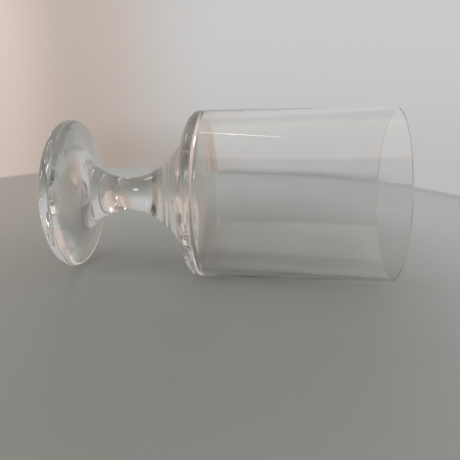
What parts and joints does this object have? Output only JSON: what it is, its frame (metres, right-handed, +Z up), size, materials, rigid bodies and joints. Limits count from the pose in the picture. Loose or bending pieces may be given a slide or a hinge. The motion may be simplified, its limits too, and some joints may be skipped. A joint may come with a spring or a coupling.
{
  "type": "stemmed drinking glass",
  "caption": "Clear stemmed drinking glass: domed round foot, short waisted solid stem and a straight-sided bowl with a thin rim, for cold drinks.",
  "frame": {"origin": "middle of the foot, on the surface that the glass stands on", "axes": "+Z up along the axis of revolution, from the foot to the rim; X and Y are alike"},
  "size_m": [0.066, 0.066, 0.127],
  "materials": {
    "clear_glass": "clear fire-polished glass, smooth and glossy"
  },
  "bodies": {
    "root": {"foot": "clear_glass", "stem": "clear_glass", "bowl": "clear_glass"}
  },
  "joints": []
}
